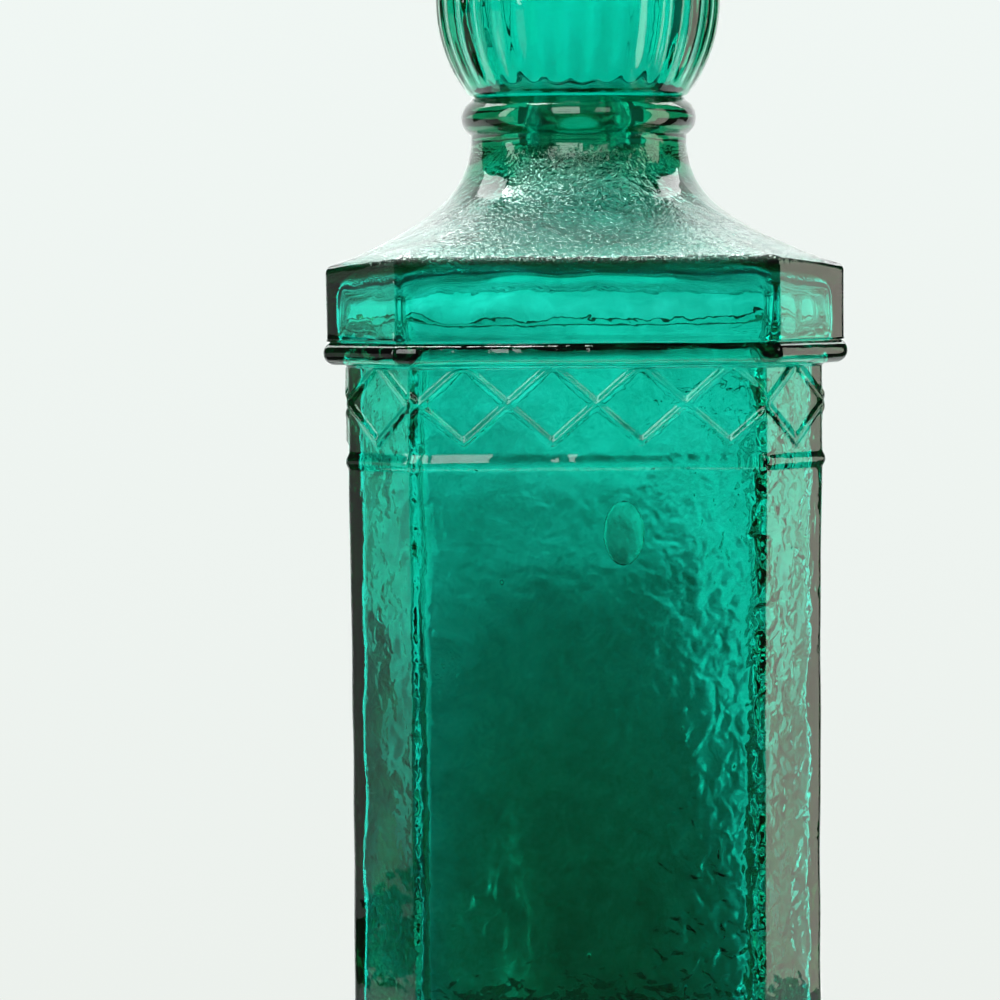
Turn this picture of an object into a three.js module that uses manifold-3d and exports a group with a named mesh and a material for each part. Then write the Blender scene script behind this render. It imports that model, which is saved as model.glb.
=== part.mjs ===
// Square glass decanter with a ribbed ball stopper.
// Millimetres, +Z up, front face towards -Y, origin at the middle of the underside.
import * as THREE from "three";
import { mergeVertices } from "three/addons/utils/BufferGeometryUtils.js";
import Module from "manifold-3d";

// Body
const bodyWidth = 84; // across the flats, under the cornice
const bodyHeight = 134; // underside to the bottom of the cornice
const bodyDraw = 0.45; // how far each side is drawn in at its slimmest
const slimHeight = 54; // height of the slimmest place
const footDraw = 0.2; // how far each side is drawn in just over the heel
const cornerCut = 11; // leg of the 45 degree corner cut
const edgeRound = 1.6; // rounding of the upright edges
const heelRadius = 4;
const bodyWall = 4.6;
const floorThickness = 7;
const floorCornerRadius = 7; // inside, where wall meets floor
const kickDepth = 2.2; // hollow under the base
const footRim = 6.5; // flat rim round that hollow

// Lattice band
const diamondsPerFace = 4;
const latticeHeight = 13.3; // tip to tip of one diamond
const latticeDrop = 1; // tips below the cornice
const ribWidth = 1.3;
const ribProud = 0.55;
const ribRoot = 0.55; // how far the ribs reach into the wall
const ribFoot = 0.15; // how far into the wall their flanks slope
const ridgeDrop = 17.1; // middle of the ridge below the cornice
const ridgeHeight = 3;
const ridgeProud = 0.5;

// Cornice
const corniceOverhang = 3.6;
const corniceCut = 12.4; // leg of its corner cut
const corniceHeight = 17.5;
const corniceBeadHeight = 4.3;
const corniceBeadProud = 0.6;
const eaveRadius = 2;

// Shoulder, neck and lip
const neckDiameter = 39.5;
const shoulderHeight = 21.5; // eave to the narrowest place
const shoulderSlope = 0.47; // rise for each millimetre in, at the eave
const shoulderRun = 18.5; // how far in that slope carries
const waistDrop = 9; // how far down the neck's own line carries
const waistFlare = 1.1;
const shoulderTurn = 1.5; // how late the shoulder goes from cut square to round
const neckWallEase = 1.5; // how late the wall thickens towards the neck
const lipBeadRadius = 3.67;
const lipBeadProud = 1.76;
const neckLength = 1.8; // narrowest place to the bead
const lipLand = 0.5; // upright edge between the bead and the flat of the lip
const boreDiameter = 19.8; // at the mouth
const boreTaper = 0.05; // loss of radius for each millimetre down
const mouthRound = 0.9;

// Stopper
const ballDiameter = 52;
const ballHalfHeight = 26.9;
const ballCentre = 17.4; // over its flat underside
const ballWall = 3.4;
const ribCount = 32;
const ballRibDepth = 0.55;
const ribFadeOut = 0.75; // share of the ball's radius where the ribs have faded away
const ribFull = 0.95; // share of the ball's radius where the ribs are at full depth
const pegLength = 15;
const pegWall = 2.2;

// Sleeve
const sleeveLength = 12;
const sleeveWall = 0.9;
const sleeveRibs = 3;
const sleeveRibProud = 0.5;

// Fits
const seatGap = 0.3; // between the lip and the ball, and over the sleeve
const sleeveGap = 0.3; // between the sleeve and the bore
const pegGap = 0.3; // between the peg and the sleeve

// Sizes that follow from those above
const bodyHalf = bodyWidth / 2;
const corniceHalf = bodyHalf + corniceOverhang;
const eaveZ = bodyHeight + corniceHeight;
const neckRadius = neckDiameter / 2;
const waistZ = eaveZ + shoulderHeight;
const beadCore = neckRadius + lipBeadProud - lipBeadRadius;
const beadAngle = Math.acos((neckRadius - beadCore) / lipBeadRadius);
const beadZ = waistZ + neckLength + lipBeadRadius * Math.sin(beadAngle);
const lipZ = beadZ + lipBeadRadius * Math.sin(beadAngle) + lipLand;
const ballRadius = ballDiameter / 2;
const undersideZ = lipZ + seatGap;
const ballZ = undersideZ + ballCentre;
const boreAt = (z) => boreDiameter / 2 - boreTaper * (lipZ - z);
const sleeveOuterAt = (z) => boreAt(z) - sleeveGap;
const sleeveInnerAt = (z) => sleeveOuterAt(z) - sleeveRibProud - sleeveWall;
const pegAt = (z) => sleeveInnerAt(z) - pegGap;

const wasm = await Module();
wasm.setup();

// A closed skin over rings of equal count, with a point in the middle of each end.
function loft(rings, startZ = rings[0][0].z, endZ = rings.at(-1)[0].z) {
  const count = rings[0].length;
  const points = rings.flat();
  const faces = [];
  for (let r = 0; r + 1 < rings.length; r++) {
    for (let i = 0; i < count; i++) {
      const a = r * count + i;
      const b = r * count + ((i + 1) % count);
      faces.push(a, b, b + count, a, b + count, a + count);
    }
  }
  const start = points.length;
  points.push(new THREE.Vector3(0, 0, startZ), new THREE.Vector3(0, 0, endZ));
  const last = (rings.length - 1) * count;
  for (let i = 0; i < count; i++) {
    const next = (i + 1) % count;
    faces.push(start, next, i);
    faces.push(start + 1, last + i, last + next);
  }
  const skin = new THREE.BufferGeometry().setFromPoints(points);
  skin.setIndex(faces);
  return skin;
}

function solid(geometry) {
  return new wasm.Manifold(
    new wasm.Mesh({
      numProp: 3,
      vertProperties: new Float32Array(geometry.attributes.position.array),
      triVerts: new Uint32Array(geometry.index.array),
    }),
  );
}

function mesh(name, body, colour, roughness) {
  const data = body.getMesh();
  const geometry = new THREE.BufferGeometry();
  geometry.setAttribute("position", new THREE.BufferAttribute(data.vertProperties, 3));
  geometry.setIndex(new THREE.BufferAttribute(data.triVerts, 1));
  geometry.computeVertexNormals();
  const material = new THREE.MeshStandardMaterial({ color: colour, roughness, metalness: 0 });
  const piece = new THREE.Mesh(geometry, material);
  piece.name = name;
  return piece;
}

const circle = (z, radius, count) =>
  Array.from({ length: count }, (_, i) => {
    const turn = (i / count) * 2 * Math.PI;
    return new THREE.Vector3(radius * Math.cos(turn), radius * Math.sin(turn), z);
  });

// Square with cut, rounded corners, drawn towards a circle as roundness goes from 0 to 1.
function outerRing(z, half, cut, roundness) {
  const flatSteps = 6;
  const flat = half - cut;
  const set = edgeRound / Math.cos(Math.PI / 8);
  const quarter = [];
  const arc = (x, y, bisector) => {
    for (const turn of [-1, 1]) {
      const angle = bisector + (turn * Math.PI) / 8;
      const cx = x - set * Math.cos(bisector);
      const cy = y - set * Math.sin(bisector);
      quarter.push(new THREE.Vector2(cx + edgeRound * Math.cos(angle), cy + edgeRound * Math.sin(angle)));
    }
  };
  arc(half, flat, Math.PI / 8);
  arc(flat, half, (3 * Math.PI) / 8);
  const reach = Math.atan((flat - edgeRound) / half);
  for (let i = 1; i < flatSteps; i++) {
    const angle = reach * (1 - (2 * i) / flatSteps);
    quarter.push(new THREE.Vector2(half * Math.tan(angle), half));
  }
  const ring = [];
  for (let side = 0; side < 4; side++) {
    for (const p of quarter) {
      const q = p.clone().rotateAround(new THREE.Vector2(), (side * Math.PI) / 2);
      q.lerp(q.clone().setLength(half), roundness);
      ring.push(new THREE.Vector3(q.x, q.y, z));
    }
  }
  return ring;
}

// Square with round corners. A corner radius equal to half its width makes a circle.
function innerRing(z, half, corner) {
  const steps = 8;
  const ring = [];
  for (let side = 0; side < 4; side++) {
    for (let i = 0; i <= steps; i++) {
      const turn = ((side + (i + 0.5) / (steps + 1)) * Math.PI) / 2;
      const middle = new THREE.Vector2(half - corner, half - corner);
      middle.rotateAround(new THREE.Vector2(), (side * Math.PI) / 2);
      ring.push(
        new THREE.Vector3(middle.x + corner * Math.cos(turn), middle.y + corner * Math.sin(turn), z),
      );
    }
  }
  return ring;
}

// Outside of the bottle as (half width, height), from the heel to the lip
function bottleOutside() {
  const rings = [];
  const cutPerWidth = (corniceCut - cornerCut) / corniceOverhang;
  const square = (half, z) =>
    rings.push(outerRing(z, half, cornerCut + (half - bodyHalf) * cutPerWidth, 0));

  const footHalf = bodyHalf - footDraw;
  const heel = new THREE.EllipseCurve(
    footHalf - heelRadius, heelRadius, heelRadius, heelRadius, -Math.PI / 2, 0,
  );
  heel.getPoints(4).forEach((p) => square(p.x, p.y));

  const ridgeZ = bodyHeight - ridgeDrop;
  const flank = new THREE.SplineCurve([
    new THREE.Vector2(footHalf, heelRadius),
    new THREE.Vector2(bodyHalf - bodyDraw, slimHeight),
    new THREE.Vector2(bodyHalf, ridgeZ - ridgeHeight / 2),
  ]);
  flank.getPoints(6).slice(1).forEach((p) => square(p.x, p.y));
  square(bodyHalf + ridgeProud, ridgeZ - ridgeHeight / 5);
  square(bodyHalf + ridgeProud, ridgeZ + ridgeHeight / 5);
  square(bodyHalf, ridgeZ + ridgeHeight / 2);
  square(bodyHalf, bodyHeight);

  const beadHalf = corniceBeadHeight / 2;
  const bead = new THREE.EllipseCurve(
    corniceHalf + corniceBeadProud - beadHalf, bodyHeight + beadHalf, beadHalf, beadHalf,
    -Math.PI / 2, Math.PI / 4,
  );
  bead.getPoints(5).forEach((p) => square(p.x, p.y));
  square(corniceHalf, bodyHeight + corniceBeadHeight);
  const eave = new THREE.EllipseCurve(
    corniceHalf - eaveRadius, eaveZ - eaveRadius, eaveRadius, eaveRadius, 0, Math.PI / 2,
  );
  eave.getPoints(3).forEach((p) => square(p.x, p.y));

  const eaveHalf = corniceHalf - eaveRadius;
  for (const p of shoulder().getPoints(10).slice(1)) {
    const way = (eaveHalf - p.x) / (eaveHalf - neckRadius);
    rings.push(outerRing(p.y, p.x, (p.x * (corniceCut - eaveRadius / 2)) / eaveHalf, way ** shoulderTurn));
  }
  const lip = new THREE.EllipseCurve(
    beadCore, beadZ, lipBeadRadius, lipBeadRadius, -beadAngle, beadAngle,
  );
  for (const p of lip.getPoints(7)) {
    rings.push(outerRing(p.y, p.x, (p.x * corniceCut) / eaveHalf, 1));
  }
  rings.push(outerRing(lipZ, neckRadius - lipLand / 2, (neckRadius * corniceCut) / eaveHalf, 1));
  return loft(rings);
}

// Hollow curve from the eave up to the narrowest place, as (half width, height)
function shoulder() {
  const eaveHalf = corniceHalf - eaveRadius;
  return new THREE.CubicBezierCurve(
    new THREE.Vector2(eaveHalf, eaveZ),
    new THREE.Vector2(eaveHalf - shoulderRun, eaveZ + shoulderRun * shoulderSlope),
    new THREE.Vector2(neckRadius + waistFlare, waistZ - waistDrop),
    new THREE.Vector2(neckRadius, waistZ),
  );
}

// Space inside the bottle, carried up through the mouth
function bottleInside() {
  const half = bodyHalf - bodyDraw - bodyWall;
  const outerReach = (2 * (bodyHalf - bodyDraw) - cornerCut) / Math.SQRT2;
  const corner = (Math.SQRT2 * half - (outerReach - bodyWall)) / (Math.SQRT2 - 1);
  const share = corner / half;
  const rings = [];
  const floor = new THREE.EllipseCurve(
    half - floorCornerRadius, floorThickness + floorCornerRadius,
    floorCornerRadius, floorCornerRadius, -Math.PI / 2, 0,
  );
  floor.getPoints(4).forEach((p) => rings.push(innerRing(p.y, p.x, p.x * share)));

  // Under the shoulder the wall thickens from the body's to the neck's.
  const neckHalf = boreAt(waistZ);
  const neckWall = neckRadius - neckHalf;
  const steps = 14;
  const curve = shoulder();
  for (let i = 0; i < steps; i++) {
    const way = i / steps;
    const p = curve.getPoint(way);
    const t = curve.getTangent(way);
    const wall = bodyWall + (neckWall - bodyWall) * way ** neckWallEase;
    const x = Math.min(half, p.x - wall * t.y);
    const round = share + (1 - share) * ((half - x) / (half - neckHalf));
    rings.push(innerRing(p.y + wall * t.x, x, x * round));
  }
  for (const z of [waistZ, lipZ - mouthRound]) {
    rings.push(innerRing(z, boreAt(z), boreAt(z)));
  }
  const mouth = boreDiameter / 2 + mouthRound;
  rings.push(innerRing(lipZ, mouth, mouth), innerRing(lipZ + 1, mouth, mouth));
  return loft(rings);
}

function kick() {
  const half = bodyHalf - footDraw - heelRadius - footRim;
  const dome = new THREE.EllipseCurve(0, 0, half, kickDepth, 0, Math.PI / 2);
  const rings = dome.getPoints(4).slice(0, -1).map((p) => innerRing(p.y, p.x, p.x / 2));
  return loft([innerRing(-1, half, half / 2), ...rings], -1, kickDepth);
}

// Raised bars that cross into diamonds, on the four sides and the four cut corners
function lattice() {
  const middleZ = bodyHeight - latticeDrop - latticeHeight / 2;
  const plates = [];
  for (let face = 0; face < 8; face++) {
    const onCorner = face % 2 === 1;
    const width = onCorner ? cornerCut * Math.SQRT2 : bodyWidth - 2 * cornerCut;
    const distance = onCorner ? (bodyWidth - cornerCut) / Math.SQRT2 : bodyHalf;
    const turn = (face * Math.PI) / 4;
    const out = new THREE.Vector3(Math.sin(turn), -Math.cos(turn), 0);
    const along = new THREE.Vector3(Math.cos(turn), Math.sin(turn), 0);
    const plate = latticePlate(width, onCorner ? 1 : diamondsPerFace);
    plate.applyMatrix4(new THREE.Matrix4().makeBasis(along, new THREE.Vector3(0, 0, 1), out));
    plate.translate(out.x * distance, out.y * distance, middleZ);
    plate.deleteAttribute("normal");
    plate.deleteAttribute("uv");
    plates.push(mergeVertices(plate, 1e-4));
  }
  return plates;
}

// A row of diamond outlines with sloping flanks, its outer face ribProud over the wall at Z 0
function latticePlate(width, count) {
  const pitch = width / count;
  const halfPitch = pitch / 2;
  const halfHeight = latticeHeight / 2;
  const grow = (ribWidth / 2) * Math.hypot(1 / halfPitch, 1 / halfHeight);
  const tip = halfHeight * (1 + grow);
  const notch = halfHeight * grow;
  const reach = width / 2 + ribProud;
  const row = Array.from({ length: count }, (_, i) => (i + 0.5) * pitch - width / 2);
  const outline = [new THREE.Vector2(-reach, -notch), new THREE.Vector2(-reach, notch)];
  row.forEach((x, i) => {
    outline.push(new THREE.Vector2(x, tip));
    outline.push(new THREE.Vector2(i + 1 < count ? x + halfPitch : reach, notch));
  });
  row.reverse().forEach((x, i) => {
    outline.push(new THREE.Vector2(i > 0 ? x + halfPitch : reach, -notch));
    outline.push(new THREE.Vector2(x, -tip));
  });
  const shape = new THREE.Shape(outline);
  for (const x of row) {
    const w = halfPitch * (1 - grow);
    const h = halfHeight * (1 - grow);
    shape.holes.push(
      new THREE.Path([
        new THREE.Vector2(x - w, 0),
        new THREE.Vector2(x, -h),
        new THREE.Vector2(x + w, 0),
        new THREE.Vector2(x, h),
      ]),
    );
  }
  const plate = new THREE.ExtrudeGeometry(shape, {
    depth: ribRoot - ribFoot,
    bevelEnabled: true,
    bevelThickness: ribProud + ribFoot,
    bevelSize: ribWidth / 4,
    bevelOffset: -ribWidth / 4,
    bevelSegments: 1,
  });
  plate.translate(0, 0, -ribRoot);
  return plate;
}

function makeBottle() {
  let glass = solid(bottleOutside());
  for (const plate of lattice()) {
    glass = glass.add(solid(plate));
  }
  return glass.subtract(solid(bottleInside())).subtract(solid(kick()));
}

// Ball with upright ribs that fade out towards its two ends, and the peg under it
function makeStopper() {
  const count = ribCount * 4;
  const pegFoot = undersideZ - pegLength;
  const rings = [circle(pegFoot, pegAt(pegFoot), count), circle(undersideZ, pegAt(undersideZ), count)];
  const low = -Math.asin(ballCentre / ballHalfHeight);
  const steps = 14;
  for (let i = 0; i < steps; i++) {
    const tilt = low + ((Math.PI / 2 - low) * i) / steps;
    const radius = ballRadius * Math.cos(tilt);
    const fade = THREE.MathUtils.smoothstep(Math.cos(tilt), ribFadeOut, ribFull);
    const ring = circle(ballZ + ballHalfHeight * Math.sin(tilt), radius, count);
    ring.forEach((p, k) => {
      const inset = (ballRibDepth * fade * (1 - Math.cos((k * Math.PI) / 2))) / 2;
      p.x *= (radius - inset) / radius;
      p.y *= (radius - inset) / radius;
    });
    rings.push(ring);
  }
  const outside = loft(rings, pegFoot, ballZ + ballHalfHeight);

  const hollowCount = 36;
  const hole = pegAt(pegFoot) - pegWall;
  const hollowRadius = ballRadius - ballRibDepth - ballWall;
  const hollowHalfHeight = ballHalfHeight - ballWall;
  const neckTilt = -Math.acos(hole / hollowRadius);
  const hollow = [circle(pegFoot - 1, hole, hollowCount)];
  const hollowSteps = 10;
  for (let i = 0; i < hollowSteps; i++) {
    const tilt = neckTilt + ((Math.PI / 2 - neckTilt) * i) / hollowSteps;
    const z = Math.max(ballZ + hollowHalfHeight * Math.sin(tilt), undersideZ + ballWall * Math.cos(tilt));
    hollow.push(circle(z, hollowRadius * Math.cos(tilt), hollowCount));
  }
  return solid(outside).subtract(solid(loft(hollow, pegFoot - 1, ballZ + hollowHalfHeight)));
}

// Thin sleeve with sealing ribs round it, open at both ends
function makeSleeve() {
  const count = 36;
  const top = undersideZ - seatGap - mouthRound;
  const foot = top - sleeveLength;
  const pitch = sleeveLength / sleeveRibs;
  const rings = [circle(foot, sleeveOuterAt(foot) - sleeveRibProud, count)];
  for (let i = 0; i < sleeveRibs; i++) {
    const z = foot + (i + 0.5) * pitch;
    rings.push(circle(z - pitch / 5, sleeveOuterAt(z - pitch / 5) - sleeveRibProud, count));
    rings.push(circle(z, sleeveOuterAt(z), count));
    rings.push(circle(z + pitch / 5, sleeveOuterAt(z + pitch / 5) - sleeveRibProud, count));
  }
  rings.push(circle(top, sleeveOuterAt(top) - sleeveRibProud, count));
  const inside = [foot - 1, top + 1].map((z) => circle(z, sleeveInnerAt(z), count));
  return solid(loft(rings)).subtract(solid(loft(inside)));
}

const group = new THREE.Group();
group.add(mesh("bottle", makeBottle(), 0x0b9a78, 0.05));
group.add(mesh("stopper", makeStopper(), 0x0fa583, 0.05));
group.add(mesh("stopper_sleeve", makeSleeve(), 0xe6ebe8, 0.3));

export default group;
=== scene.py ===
import math

import bpy
import numpy as np
from mathutils import Matrix, Vector


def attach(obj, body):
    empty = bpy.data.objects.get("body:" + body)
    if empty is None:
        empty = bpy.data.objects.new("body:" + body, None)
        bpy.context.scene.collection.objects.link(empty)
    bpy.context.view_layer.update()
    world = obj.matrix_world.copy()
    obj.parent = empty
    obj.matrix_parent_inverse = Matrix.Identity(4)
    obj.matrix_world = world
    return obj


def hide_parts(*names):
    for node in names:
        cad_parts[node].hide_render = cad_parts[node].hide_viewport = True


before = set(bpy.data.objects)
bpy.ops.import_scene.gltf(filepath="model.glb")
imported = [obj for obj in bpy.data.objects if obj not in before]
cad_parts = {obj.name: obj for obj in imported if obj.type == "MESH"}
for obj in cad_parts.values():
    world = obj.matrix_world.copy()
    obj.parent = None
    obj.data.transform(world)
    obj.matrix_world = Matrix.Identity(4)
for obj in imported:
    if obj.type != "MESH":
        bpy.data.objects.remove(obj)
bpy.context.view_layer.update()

# Square glass decanter with a ribbed ball stopper, in millimetres, front towards -Y
MM = 0.001

# Body of the bottle
BODY_HALF = 42.0
BODY_HEIGHT = 134.0
SLIM_HALF, SLIM_HEIGHT = 41.55, 54.0
FOOT_HALF = 41.8
CORNER_CUT = 11.0
EDGE_ROUND = 1.6
HEEL_RADIUS = 4.0
FLANK_LOW = 5.0
KICK_HALF, KICK_DEPTH, KICK_CORNER = 31.3, 2.2, 0.5
KICK_TILTS = (80, 65, 50, 35, 20, 8, 0)

# Diamond band and the ridge under it
BAND_FACES, DIAMONDS_PER_FACE = 8, 4
DIAMOND_HEIGHT = 13.6
DIAMOND_SHIFT = 1.6
RIB_HALF_WIDTH, RIB_PROUD = 0.85, 0.5
RIDGE_Z = BODY_HEIGHT - 17.1
RIDGE_HEIGHT, RIDGE_PROUD, RIDGE_POWER, RIDGE_GAP = 3.0, 0.5, 1.5, 0.5
BAND_GAP, BAND_STEP, BAND_FLARE = 0.4, 0.3, 0.05

# Cornice
CORNICE_HALF, CORNICE_CUT = 45.6, 12.4
CORNICE_BEAD_RADIUS, CORNICE_BEAD_PROUD = 2.15, 0.6
CORNICE_BEAD_TURN = (-88, 62)
FILLET_RADIUS, FILLET_OUT = 0.6, 0.7
FILLET_TURN = (170, 90)
FACE_EASE, FACE_GAP = 0.1, 0.4
EAVE_Z = BODY_HEIGHT + 17.5
EAVE_RADIUS = 2.0
EAVE_HALF = CORNICE_HALF - EAVE_RADIUS
EAVE_CUT = CORNICE_CUT - EAVE_RADIUS / 2
EAVE_ROUND, EAVE_ROUND_DROP, EAVE_TURN = 1.4, 1.34, 62

# Rise of the eave on the front and back, and the heights where it comes in and where it goes
EAVE_RISE = 1.8
EAVE_RISE_IN = (EAVE_Z - 9, EAVE_Z - 1.5)
EAVE_RISE_OUT = (EAVE_Z, EAVE_Z + 12)

# Shoulder, neck and lip; the steps go in from the neck's outside and down from the lip's top
NECK_RADIUS = 19.75
WAIST_Z = EAVE_Z + 21.5
SHOULDER_RUN, SHOULDER_SLOPE, SHOULDER_ROUNDING = 18.5, 0.47, 1.5
WAIST_DROP, WAIST_FLARE = 9.0, 1.1
LIP_BEAD_RADIUS, LIP_BEAD_CORE = 3.67, 17.84
LIP_BEAD_Z = WAIST_Z + 4.93
LIP_Z = WAIST_Z + 8.57
LIP_STEPS = ((0.3, 0.08), (0.8, 0.0), (4.75, 0.0))
BORE_RADIUS, BORE_TAPER, BORE_START = 9.9, 0.05, 2.0
MOUTH_ROUND = 0.9

# Inside of the bottle
INNER_HALF, INNER_CUT, INNER_EDGE = 38.4, 9.6, 3.4
INNER_CORNICE_HALF, INNER_CORNICE_CUT = 42.4, 10.8
INNER_CORNICE_EASE = (BODY_HEIGHT - 1, BODY_HEIGHT + 6)
INNER_EAVE_ROUND = 2.5
INNER_WALL_TOP_GAP, INNER_WALL_FLOOR_GAP = 1.5, 2.0
BULGE, BULGE_POWER = 9.5, 1.5
BULGE_FADE = (18.0, 112.0)
ROOF_WALL, NECK_WALL, NECK_WALL_GROWTH = 3.6, 10.28, 2.2
FLOOR_THICKNESS, FLOOR_CORNER = 6.5, 4.0
FLOOR_SHARES = (0.8, 0.6, 0.4, 0.2)

# Waves in the glass as (shortest, longest, how many, seed), their heights and where they are
PATCH_WAVES, PATCH_EASE = (30, 70, 8, 14), (-0.4, 1.2)
LONG_WAVES, LONG_HEIGHT = (12, 34, 14, 5), 0.34
SHORT_WAVES, SHORT_STRETCH = (4.0, 9, 16, 8), (1, 1, 0.6)
SHORT_HEIGHT, SHORT_PATCH_HEIGHT = 0.06, 0.16
STREAK_WAVES, STREAK_STRETCH, STREAK_HEIGHT = (3.2, 7, 16, 9), (1, 1, 0.45), 0.22
STREAK_RIGHT, STREAK_FRONT, STREAK_FADE = (6, 20), (0, 20), (100, 122)
OUTER_WAVES, OUTER_HEIGHT = (12, 40, 10, 11), 0.08
WAVES_IN, WAVES_OUT = (6, 20), (EAVE_Z + 16, WAIST_Z)

# Bubbles in the walls: a large one on the front and small ones by chance
BUBBLE_AROUND, BUBBLE_UP = 20, 10
BUBBLE_PLACE = (6.3, -(BODY_HALF + INNER_HALF) / 2, RIDGE_Z - 12.3)
BUBBLE_SIZE = (3.6, 0.5, 5.7)
SMALL_BUBBLES, SMALL_BUBBLE_SEED = 16, 21
SMALL_BUBBLE_ACROSS = (-26, 26)
SMALL_BUBBLE_HEIGHTS = (16, 100)
SMALL_BUBBLE_DEPTHS = (0.4, 0.6)
SMALL_BUBBLE_SIZES, SMALL_BUBBLE_STRETCH = (0.18, 0.42), (1, 2)

# Ball stopper, resting a hair over the lip
BALL_RADIUS, BALL_HALF_HEIGHT = 26.0, 26.9
BALL_Z = LIP_Z + 17.7
UNDERSIDE_Z = LIP_Z + 0.06
UNDERSIDE_IN, UNDERSIDE_OUT = 0.5, 0.6
BALL_WALL, BALL_FLOOR = 4.0, 1.8
BALL_RIBS, BALL_RIB_DEPTH, BALL_RIB_POINTS = 32, 0.55, 12
BALL_RIB_FADE = (0.75, 0.95)
BALL_START_TILT = 0.02
BALL_WAVES, BALL_WAVE_HEIGHT, BALL_OUTER_SHARE = (8, 24, 12, 31), 0.16, 0.2
BALL_WAVES_IN = (UNDERSIDE_Z + 3, UNDERSIDE_Z + 9)
PEG_TOP_RADIUS, PEG_FOOT_RADIUS = 7.9, 7.15
PEG_FOOT_Z = LIP_Z - 14.7
PEG_HOLE, PEG_ROUND, PEG_HOLE_GAP = 4.95, 0.5, 0.1
PEG_SHARES = (0.1, 0.97)

# Sleeve on the peg
SLEEVE_TOP_Z = LIP_Z - MOUTH_ROUND
SLEEVE_FOOT_Z = SLEEVE_TOP_Z - 12.0
SLEEVE_FINS, SLEEVE_FIN_PROUD = 3, 0.5
SLEEVE_FIN_EASE = (0.02, 0.2)
SLEEVE_GAP, SLEEVE_WALL = 0.3, 0.9

# Points round a ring: plain, over the fine diamonds, and on the sleeve
PLAIN_COUNT = 240
FINE_COUNT = 960
SLEEVE_COUNT = 96

# Rings along each stretch of a skin
HEEL_RINGS, FLANK_RINGS, RIDGE_RINGS, BAND_RINGS = 8, 40, 11, 34
FILLET_RINGS, BEAD_RINGS, FACE_RINGS, EAVE_RINGS = 4, 15, 7, 7
SHOULDER_RINGS, LIP_RINGS = 30, 18
MOUTH_RINGS, BORE_RINGS, INNER_WALL_RINGS, FLOOR_RINGS = 6, 6, 52, 9
BALL_HOLLOW_RINGS, PEG_RINGS, PEG_ROUND_RINGS = 43, 8, 4
UNDERSIDE_RINGS, BALL_RINGS = 6, 79
SLEEVE_OUTER_RINGS, SLEEVE_INNER_RINGS = 49, 13

# Shares of a quarter turn: each rounded edge of a cut corner, the cut itself, the rest is flat
EDGE_SHARE, CUT_SHARE = 6 / 60, 8 / 60


def smooth(x, low, high):
    """Ease from 0 at low to 1 at high."""
    t = np.clip((x - low) / (high - low), 0, 1)
    return t * t * (3 - 2 * t)


def softer_of(a, b, blend):
    """The smaller of two sizes, eased where they meet."""
    h = max(blend - abs(a - b), 0) / blend
    return min(a, b) - h * h * blend / 4


def four_quarters(x, y):
    """Repeat a quarter of an outline round the axis."""
    quarters = [(x, y), (-y, x), (-x, -y), (y, -x)]
    return np.concatenate([np.column_stack(q) for q in quarters])


def drawn_round(outline, radius, roundness):
    """Pull an outline towards a circle as roundness goes from 0 to 1."""
    reach = np.linalg.norm(outline, axis=1, keepdims=True)
    return outline + (outline / reach * radius - outline) * roundness


def at_height(outline, z):
    """Ring of an outline at one height."""
    return np.column_stack([outline, np.full(len(outline), z)])


def cut_square(z, half, cut, roundness=0.0, count=PLAIN_COUNT, edge=EDGE_ROUND):
    """Ring of the bottle: a square with cut corners and rounded edges."""
    t = np.arange(count // 4) / (count // 4)
    stops = np.cumsum([0, EDGE_SHARE, CUT_SHARE, EDGE_SHARE])
    turn = np.interp(t, stops, [0, math.pi / 4, math.pi / 4, math.pi / 2])
    side = half - edge
    flat = half - cut - edge * math.tan(math.pi / 8)
    stops = np.append(stops, 1)
    x = np.interp(t, stops, [side, side, flat, flat, -flat]) + edge * np.cos(turn)
    y = np.interp(t, stops, [flat, flat, side, side, side]) + edge * np.sin(turn)
    return at_height(drawn_round(four_quarters(x, y), half, roundness), z)


def round_square(z, half, share):
    """Ring of the kick under the base: a square with rounded corners."""
    t = np.arange(PLAIN_COUNT // 4) / (PLAIN_COUNT // 4)
    bend = 2 * EDGE_SHARE + CUT_SHARE
    corner = half * share
    middle = half - corner
    turn = np.interp(t, [0, bend], [0, math.pi / 2])
    x = np.interp(t, [0, bend, 1], [middle, middle, -middle]) + corner * np.cos(turn)
    y = middle + corner * np.sin(turn)
    return at_height(four_quarters(x, y), z)


def circle(z, radius, count):
    """Round ring."""
    turn = np.arange(count) / count * 2 * math.pi
    return at_height(np.column_stack([radius * np.cos(turn), radius * np.sin(turn)]), z)


def arc(x, z, radius, start, end, count):
    """Points of an arc as (distance out, height), with angles in degrees from level."""
    turn = np.radians(np.linspace(start, end, count))
    return np.column_stack([x + radius * np.cos(turn), z + radius * np.sin(turn)])


def skin_over(rings, start, end, first=0):
    """Points and faces of a closed skin; a ring may have twice or half the points of the last."""
    points = [np.array([start])] + list(rings) + [np.array([end])]
    offsets = first + np.cumsum([0] + [len(p) for p in points])
    faces = []
    for a, b, low, high in zip(points, points[1:], offsets, offsets[1:]):
        m, n = len(a), len(b)
        for i in range(min(m, n) if min(m, n) > 1 else max(m, n)):
            if m == 1:
                faces.append((low, high + (i + 1) % n, high + i))
            elif n == 1:
                faces.append((low + i, low + (i + 1) % m, high))
            elif m == n:
                j = (i + 1) % n
                faces.append((low + i, low + j, high + j, high + i))
            elif n == 2 * m:
                j = (i + 1) % m
                faces.append((low + i, low + j, high + 2 * j, high + 2 * i + 1, high + 2 * i))
            else:
                j = (i + 1) % n
                faces.append((low + 2 * i, low + 2 * i + 1, low + 2 * j, high + j, high + i))
    return np.concatenate(points), faces


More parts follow.
